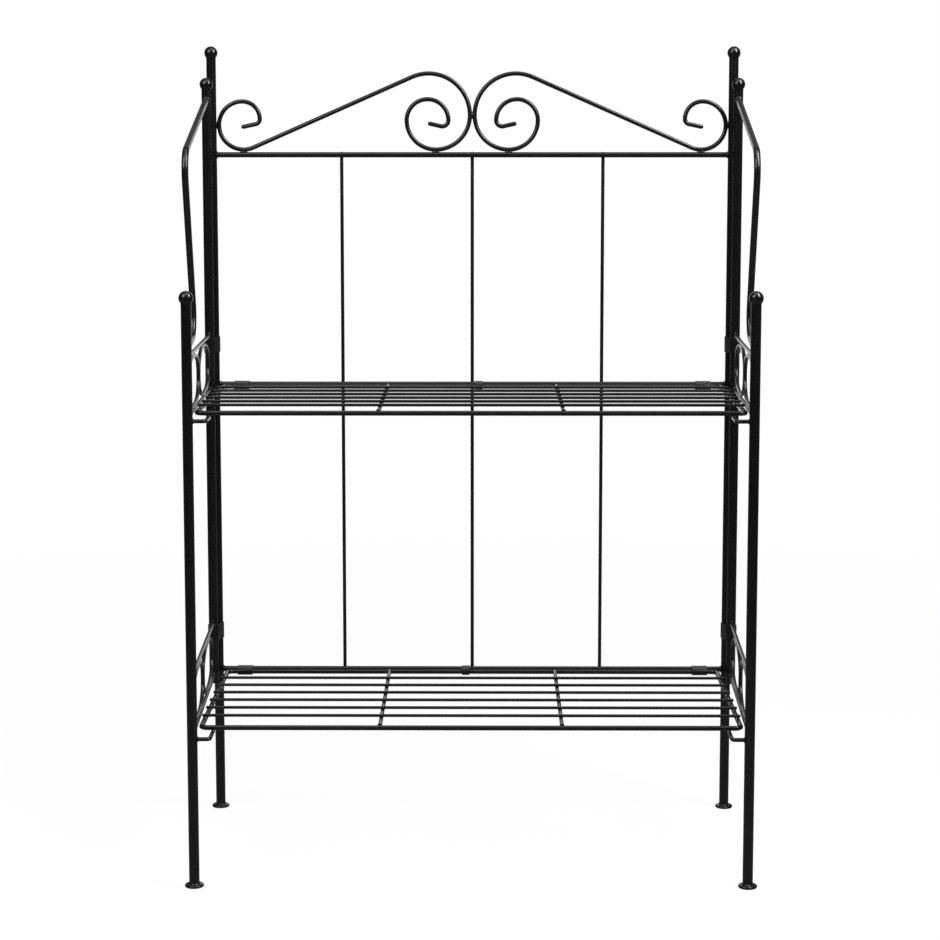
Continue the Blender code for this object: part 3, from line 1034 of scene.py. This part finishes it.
@dataclass
class Straps(Assembly):
    """Flat steel straps: the hinge bands round the posts and the clips that hold the shelves' rear rods."""

    band_thickness: float = 0.0007
    clip_thickness: float = 0.0006
    edge_share: float = 0.3
    half_turn_steps: int = 20
    corner_steps: int = 4

    def build(self) -> None:
        """Build and dress all the bands and clips."""
        for tier in Tier:
            for side in Side:
                post = f"back_post_{side.label}"
                bars = (middle_of(post), middle_of(f"{side.label}_rear_post"))
                inner = thickness_of(post) / 2 + CLEARANCE
                node = f"{tier.value}_hinge_band_{side.label}"
                self.strap(node, bars, inner, self.band_thickness, UPRIGHT)
            rail = "middle_rail" if tier is Tier.UPPER else "lower_rail"
            rod = f"{tier.value}_shelf_frame"
            rod_radius = thickness_of(rod) / 2
            rear = middle_of(rod)
            rear.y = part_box(rod)[1].y - rod_radius
            inner = max(thickness_of(rail) / 2, rod_radius) + CLEARANCE
            for place in ("left", "middle", "right"):
                node = f"{tier.value}_shelf_clip_{place}"
                self.strap(node, (middle_of(rail), rear), inner, self.clip_thickness, ACROSS)

    def section(self, thickness: float, width: float) -> list[Span]:
        """Draw a strap's section with rolled edges.

        Args:
            thickness: The strap's thickness.
            width: Its width.

        Returns:
            The section's points, outward and sideways.
        """
        edge = self.edge_share * thickness
        points = []
        for quarter in range(4):
            outward = thickness / 2 - edge if quarter in (0, 3) else edge - thickness / 2
            sideways = width / 2 - edge if quarter in (0, 1) else edge - width / 2
            for step in range(self.corner_steps + 1):
                angle = QUARTER * (quarter + step / self.corner_steps)
                points.append((outward + edge * math.cos(angle), sideways + edge * math.sin(angle)))
        return points

    def strap(
        self, node: str, bars: tuple[Vector, Vector], inner: float, thickness: float, axis: Vector
    ) -> None:
        """Bend one strap round two parallel bars.

        Args:
            node: The node that it stands for.
            bars: A point on each bar's axis.
            inner: The strap's inner radius.
            thickness: Its thickness.
            axis: The direction that the bars lie along.
        """
        low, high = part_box(node)
        along = (low + high).dot(axis) / 2
        first, second = [bar + axis * (along - bar.dot(axis)) for bar in bars]
        heading = (second - first).normalized()
        turn = axis.cross(heading)
        section = self.section(thickness, (high - low).dot(axis))
        rings = []
        for centre, start in ((second, -QUARTER), (first, QUARTER)):
            for step in range(self.half_turn_steps + 1):
                angle = start + math.pi * step / self.half_turn_steps
                outward = heading * math.cos(angle) + turn * math.sin(angle)
                base = centre + outward * (inner + thickness / 2)
                rings.append([base + outward * out + axis * side for out, side in section])
        self.skin(node, STRAP_FINISH, rings, looped=True)


@dataclass
class SideFrame(PostedFrame):
    """One hinged side: a tall rear post, a short front post, the swept arm, two guards and two hooks."""

    side: Side
    arm_radius: float = 0.0036
    arm_start_drop: float = 0.0183
    arm_shoulder_behind: float = 0.001
    arm_shoulder_drop: float = 0.0782
    arm_shoulder_bend: float = 0.024
    arm_waist_behind: float = 0.0945
    arm_waist_drop: float = 0.0435
    arm_waist_bend: float = 0.025
    arm_end_above_guard: float = 0.0085
    ring_start: float = 0.0285
    ring_length: float = 0.120
    ring_squareness: float = 2.4
    ring_points: int = 96
    ring_bite: float = 0.0006
    ring_weld: float = 0.8
    hook_bend: float = 0.0035
    rear_bead: float = 0.8
    rear_bead_rise: float = 0.6

    def __post_init__(self) -> None:
        """Find the frame's plane from its two posts."""
        self.name = self.side.label
        self.rear = Upright.of(f"{self.name}_rear_post").axis
        self.front = Upright.of(f"{self.name}_front_post").axis
        self.depth = (self.front - self.rear).length
        self.along = (self.front - self.rear).normalized()
        self.face = thickness_of(f"{self.name}_rear_post") / 2 + CLEARANCE

    def at(self, forward: float, height: float) -> Vector:
        """Give the point in the frame's plane that far from the rear post's axis, at that height."""
        return self.rear + self.along * forward + UPRIGHT * height

    def build(self) -> None:
        """Build and dress every piece of the side."""
        for place in ("rear", "front"):
            post = f"{self.name}_{place}_post"
            self.post(post)
            self.finial(f"{self.name}_{place}_finial", post)
        self.foot(f"{self.name}_front_foot", f"{self.name}_front_post")
        self.arm()
        for tier in Tier:
            self.guard_bars(tier)
            self.guard_rings(tier)
            self.hook(tier)
        self.weld()

    def arm(self) -> None:
        """Bend and dress the arm tube, and note the welds at its ends."""
        rear_top = Upright.of(f"{self.name}_rear_finial").ball_height
        front_top = Upright.of(f"{self.name}_front_finial").ball_height
        guard_top = middle_of(f"{self.name}_upper_guard_top_bar").z
        start = self.at(self.face, rear_top - self.arm_start_drop)
        shoulder = self.at(self.depth - self.arm_shoulder_behind, rear_top - self.arm_shoulder_drop)
        waist = self.at(self.depth - self.arm_waist_behind, front_top - self.arm_waist_drop)
        end = self.at(self.depth - self.face, guard_top + self.arm_end_above_guard)
        start += self.along * self.arm_radius * abs((shoulder - start).normalized().z)
        end -= self.along * self.arm_radius * abs((end - waist).normalized().z)
        upper = bend(start, shoulder, waist, self.arm_shoulder_bend)
        lower = bend(shoulder, waist, end, self.arm_waist_bend)
        self.rod(f"{self.name}_arm", RodLine([start, *upper, *lower, end], self.arm_radius))
        for place, axis in ((start, shoulder - start), (end, end - waist)):
            self.collars.append(Weld(place, axis, self.arm_radius))

    def guard_bars(self, tier: Tier) -> None:
        """Dress one guard's two bars, and note the welds at their ends.

        Args:
            tier: The shelf that the guard stands beside.
        """
        for bar in ("top_bar", "lower_bar"):
            node = f"{self.name}_{tier.value}_guard_{bar}"
            radius = thickness_of(node) / 2
            height = middle_of(node).z
            ends = [self.at(self.face, height), self.at(self.depth - self.face, height)]
            self.rod(node, RodLine(ends, radius))
            if bar == "top_bar":
                # The hinge band is close below this end, which leaves no room for a collar
                over_end = ends.pop(0) + UPRIGHT * radius * self.rear_bead_rise
                self.beads.append(Weld(over_end, UPRIGHT, radius * self.rear_bead))
            self.collars += [Weld(end, self.along, radius) for end in ends]

    def guard_rings(self, tier: Tier) -> None:
        """Bend and dress one guard's two oval rings, and note the welds between them and to the bars.

        Args:
            tier: The shelf that the guard stands beside.
        """
        node = f"{self.name}_{tier.value}_guard_rings"
        low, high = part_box(node)
        radius = thickness_of(f"{self.name}_{tier.value}_guard_top_bar") / 2
        reach = radius * self.ring_weld
        height = (low.z + high.z) / 2
        half_height = (high.z - low.z) / 2 - radius
        half_length = self.ring_length / 2
        rear_middle = self.ring_start + half_length
        middles = (rear_middle, rear_middle + self.ring_length + 2 * radius - self.ring_bite)
        power = 2.0 / self.ring_squareness
        lines = []
        for middle in middles:
            points = []
            for step in range(self.ring_points):
                angle = 2 * math.pi * step / self.ring_points
                across = math.copysign(abs(math.cos(angle)) ** power, math.cos(angle))
                rise = math.copysign(abs(math.sin(angle)) ** power, math.sin(angle))
                points.append(self.at(middle + half_length * across, height + half_height * rise))
            lines.append(RodLine(points, radius, closed=True))
            for sign in (-1, 1):
                touch = self.at(middle, height + sign * (half_height + radius))
                self.beads.append(Weld(touch, self.along, reach))
        self.beads.append(Weld(self.at(sum(middles) / 2, height), UPRIGHT, reach))
        self.rod(node, *lines)

    def hook(self, tier: Tier) -> None:
        """Bend and dress the hook that a shelf's front rod rests on, and note the weld at its root.

        Args:
            tier: The shelf that rests on it.
        """
        node = f"{self.name}_{tier.value}_hook"
        low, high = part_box(node)
        radius = thickness_of(f"{self.name}_{tier.value}_guard_top_bar") / 2
        height = (low.z + high.z) / 2
        is_left = self.side is Side.LEFT
        tip_x = high.x - radius if is_left else low.x + radius
        root = Vector((low.x if is_left else high.x, self.front.y, height))
        corner = Vector((tip_x, self.front.y, height))
        tip = Vector((tip_x, high.y, height))
        points = [root, *bend(root, corner, tip, self.hook_bend), tip]
        self.rod(node, RodLine(points, radius, ends=RoundedEnds.LAST))
        self.collars.append(Weld(root, ACROSS, radius))


@dataclass
class Shelf(Assembly):
    """One fold-up wire shelf: a bent frame, its front rod, long wires and two cross bars."""

    wires: int = 6
    front_gap: float = 0.0346
    pitch: float = 0.0352
    corner: float = 0.007
    frame_return: float = 0.0006
    wire_radius: float = 0.0017
    bar_radius: float = 0.0022
    bar_offset: float = 0.0975
    weld_bite: float = 0.0006
    crossing_weld: float = 0.85
    rear_weld: float = 0.7
    seam_weld: float = 0.8

    def __post_init__(self) -> None:
        """Find the shelf's rods from the boxes of its frame and front rod."""
        self.front_rod = f"{self.body}_front_rod"
        self.radius = thickness_of(self.front_rod) / 2
        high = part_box(f"{self.body}_frame")[1]
        self.half = high.x - self.radius
        self.rear = high.y - self.radius
        self.front = middle_of(self.front_rod).y
        self.height = middle_of(self.front_rod).z
        self.face = self.radius + CLEARANCE
        self.wire_z = self.height + self.face + self.wire_radius
        self.bar_z = self.wire_z - self.wire_radius - self.bar_radius + self.weld_bite

    def build(self) -> None:
        """Build and dress every piece of the shelf."""
        self.bent_frame()
        ends = bar_ends(self.front_rod, 0)
        self.rod(self.front_rod, RodLine(ends, self.radius))
        self.collars += [Weld(end, ACROSS, self.radius * self.seam_weld) for end in ends]
        self.rack()
        self.note_rack_welds()
        self.weld()

    def bent_frame(self) -> None:
        """Bend and dress the frame's two sides and rear from one rod."""
        end = self.half - self.corner - self.frame_return
        outline = [
            (end, self.front),
            (self.half, self.front),
            (self.half, self.rear),
            (-self.half, self.rear),
            (-self.half, self.front),
            (-end, self.front),
        ]
        corners = [Vector((x, y, self.height)) for x, y in outline]
        points = [corners[0]]
        for before, corner, after in zip(corners, corners[1:], corners[2:]):
            points += bend(before, corner, after, self.corner)
        points.append(corners[-1])
        self.rod(f"{self.body}_frame", RodLine(points, self.radius))

    def rack(self) -> None:
        """Lay the wires over the side rods, with the cross bars under them."""
        node = f"{self.body}_grid"
        sizes = {
            "Sides": WIRE_SIDES,
            "Wire Count": self.wires,
            "Wire First": (0.0, self.front + self.front_gap, self.wire_z),
            "Wire Pitch": (0.0, self.pitch, 0.0),
            "Wire Length": 2 * (self.half + self.radius),
            "Wire Radius": self.wire_radius,
            "Bar Count": 2,
            "Bar First": (-self.bar_offset, (self.rear + self.front) / 2, self.bar_z),
            "Bar Pitch": (2 * self.bar_offset, 0.0, 0.0),
            "Bar Length": self.rear - self.front - 2 * self.face,
            "Bar Radius": self.bar_radius,
        }
        self.grow(bpy.data.meshes.new(f"{node}_dressed"), self.shop.rack_tree, sizes, node)

    def note_rack_welds(self) -> None:
        """Note the welds of the wires on side rods and cross bars, and of the bars' ends."""
        for sign in (-1, 1):
            bar_x = sign * self.bar_offset
            for index in range(self.wires):
                wire_y = self.front + self.front_gap + index * self.pitch
                seat = Vector((sign * self.half, wire_y, self.height + self.radius))
                self.beads.append(Weld(seat, INWARD, self.wire_radius))
                crossing = Vector((bar_x, wire_y, self.wire_z - self.wire_radius))
                self.beads.append(Weld(crossing, ACROSS, self.wire_radius * self.crossing_weld))
            front_end = Vector((bar_x, self.front + self.face, self.bar_z))
            self.collars.append(Weld(front_end, INWARD, self.bar_radius))
            under_bar = Vector((bar_x, self.rear - self.face, self.bar_z - self.bar_radius))
            self.beads.append(Weld(under_bar, ACROSS, self.bar_radius * self.rear_weld))


# Studio


def rays(tree: Tree) -> tuple[Plug, Plug]:
    """Tell the rays that show the backdrop from those that only carry light.

    Args:
        tree: The material's or world's node tree.

    Returns:
        A socket that is 1 on camera rays, and one that is 1 on glossy and transmission rays.
    """
    path = tree.nodes.new("ShaderNodeLightPath").outputs
    mirrored = number(tree, "MAXIMUM", path["Is Glossy Ray"], path["Is Transmission Ray"])
    return path["Is Camera Ray"], mirrored


def ramp(tree: Tree, value: Plug, span: Span, low: float, high: float) -> Plug:
    """Fade smoothly from a low level before a span to a high level after it."""
    feeds = {"Value": value, "From Min": span[0], "From Max": span[1], "To Min": low, "To Max": high}
    return add_node(tree, "ShaderNodeMapRange", feeds, interpolation_type="SMOOTHSTEP")


@dataclass(frozen=True)
class Softbox:
    """One studio lamp: its place, what it faces, its sides, its power and its roll about its own axis."""

    name: str
    place: Triple
    faces: Triple
    width: float
    height: float
    watts: float
    roll: float = 0.0


@dataclass
class Studio:
    """The pale floor, the white surround, the soft lamps and the camera."""

    floor_size: float = 24.0
    floor_drop: float = 0.0004
    floor_colour: Triple = (0.86, 0.86, 0.86)
    floor_roughness: float = 0.9
    floor_glow_share: float = 0.88
    floor_fade: Span = (0.2, 2.4)
    ambient: float = 0.35
    front_glow: float = 0.03
    back_glow: float = 0.15
    back_glow_range: Span = (0.2, 0.95)
    floor_mirror_range: Span = (-0.1, 2.0)
    floor_bounce: float = 0.13
    floor_bounce_range: Span = (0.5, 2.4)
    frame_pixels: float = 940.0
    focal_pixels: float = 2311.78
    sensor_mm: float = 36.0
    shift_pixels: float = -50.0
    camera_place: Triple = (0.0127, -2.5344, 0.7936)
    camera_tilt: float = 0.1219
    camera_yaw: float = 0.0057
    lamps: tuple[Softbox, ...] = (
        Softbox("right_softbox", (0.93, -0.50, 1.63), (0.0, -0.1, 0.6), 0.45, 1.3, 30.0, math.radians(-30.0)),
        Softbox("left_softbox", (-1.04, -1.05, 1.69), (0.0, -0.1, 0.6), 1.2, 1.2, 20.0),
        Softbox("rear_softbox", (0.0, 1.8, 0.735), (0.0, 0.0, 0.735), 0.9, 1.27, 3.15),
        Softbox("top_softbox", (0.0, -0.35, 2.3), (0.0, 0.0, 0.6), 1.25, 1.8, 11.5),
    )

    def build(self) -> None:
        """Set up the floor, the surround, the lamps and the camera."""
        self.floor()
        self.surround()
        for lamp in self.lamps:
            self.lamp(lamp)
        self.camera()
        bpy.context.scene.view_settings.view_transform = "Standard"

    def floor(self) -> None:
        """Lay the pale floor, which shows white and keeps a faint shadow."""
        shape = bmesh.new()
        bmesh.ops.create_grid(shape, x_segments=1, y_segments=1, size=self.floor_size / 2)
        bmesh.ops.translate(shape, verts=shape.verts, vec=(0.0, 0.0, -self.floor_drop))
        mesh = bpy.data.meshes.new("floor")
        shape.to_mesh(mesh)
        shape.free()
        mesh.materials.append(self.paper())
        put(mesh)

    def paper(self) -> bpy.types.Material:
        """Build the floor's material: matt paper that glows to the camera and in reflections.

        Returns:
            The material, on Object coordinates.
        """
        material = bpy.data.materials.new("floor_paper")
        material.use_nodes = True
        tree = material.node_tree
        matt = tree.nodes["Principled BSDF"]
        feed(tree, matt, {"Base Color": (*self.floor_colour, 1.0), "Roughness": self.floor_roughness})
        spot = add_node(tree, "ShaderNodeTexCoord", {}, "Object")
        away = add_node(tree, "ShaderNodeVectorMath", {0: spot}, "Value", operation="LENGTH")
        rearward = add_node(tree, "ShaderNodeSeparateXYZ", {"Vector": spot}, "Y")
        seen, mirrored = rays(tree)
        share = ramp(tree, away, self.floor_fade, self.floor_glow_share, 1.0)
        behind = ramp(tree, rearward, self.floor_mirror_range, self.front_glow, self.back_glow)
        bounce = ramp(tree, away, self.floor_bounce_range, self.floor_bounce, 0.0)
        strength = number(tree, "MULTIPLY_ADD", mirrored, number(tree, "ADD", behind, bounce), seen)
        mix = {
            "Fac": number(tree, "MULTIPLY_ADD", seen, share, mirrored),
            1: matt.outputs["BSDF"],
            2: add_node(tree, "ShaderNodeEmission", {"Strength": strength}),
        }
        shown = add_node(tree, "ShaderNodeMixShader", mix)
        feed(tree, tree.nodes["Material Output"], {"Surface": shown})
        return material

    def surround(self) -> None:
        """Make the world white behind the stand, dim in front of it and softly lit."""
        world = bpy.data.worlds.new("studio")
        bpy.context.scene.world = world
        world.use_nodes = True
        tree = world.node_tree
        tree.nodes.clear()
        direction = add_node(tree, "ShaderNodeTexCoord", {}, "Generated")
        rearward = add_node(tree, "ShaderNodeSeparateXYZ", {"Vector": direction}, "Y")
        behind = ramp(tree, rearward, self.back_glow_range, self.front_glow, self.back_glow)
        seen, mirrored = rays(tree)
        strength = number(tree, "MULTIPLY_ADD", mirrored, behind, seen)
        white = (1.0, 1.0, 1.0, 1.0)
        mix = {
            "Fac": number(tree, "MAXIMUM", seen, mirrored),
            1: add_node(tree, "ShaderNodeBackground", {"Color": white, "Strength": self.ambient}),
            2: add_node(tree, "ShaderNodeBackground", {"Color": white, "Strength": strength}),
        }
        shown = add_node(tree, "ShaderNodeMixShader", mix)
        feed(tree, tree.nodes.new("ShaderNodeOutputWorld"), {"Surface": shown})

    def lamp(self, softbox: Softbox) -> None:
        """Hang one softbox, turned to what it faces.

        Args:
            softbox: The lamp.
        """
        data = bpy.data.lights.new(softbox.name, "AREA")
        data.shape = "RECTANGLE"
        data.size = softbox.width
        data.size_y = softbox.height
        data.energy = softbox.watts
        backward = Vector(softbox.place) - Vector(softbox.faces)
        turn = backward.to_track_quat("Z", "Y").to_matrix().to_4x4()
        roll = Matrix.Rotation(softbox.roll, 4, "Z")
        put(data).matrix_world = Matrix.Translation(softbox.place) @ turn @ roll

    def camera(self) -> None:
        """Stand the camera where the photograph was taken from."""
        data = bpy.data.cameras.new("camera")
        data.sensor_width = self.sensor_mm
        data.lens = self.focal_pixels / self.frame_pixels * self.sensor_mm
        data.shift_y = self.shift_pixels / self.frame_pixels
        heading = Matrix.Rotation(self.camera_yaw, 4, "Z")
        pitch = Matrix.Rotation(QUARTER - self.camera_tilt, 4, "X")
        item = put(data)
        item.matrix_world = Matrix.Translation(self.camera_place) @ heading @ pitch
        bpy.context.scene.camera = item


def main() -> None:
    """Build the stand's sub-assemblies in order, then the studio."""
    logging.basicConfig(level=logging.INFO, format="%(message)s")
    shop = Workshop()
    BackFrame(shop, "back_frame").build()
    Straps(shop, "back_frame").build()
    for side in Side:
        SideFrame(shop, f"{side.label}_side", side).build()
    for tier in Tier:
        Shelf(shop, f"{tier.value}_shelf").build()
    Studio().build()


if __name__ == "__main__":
    main()
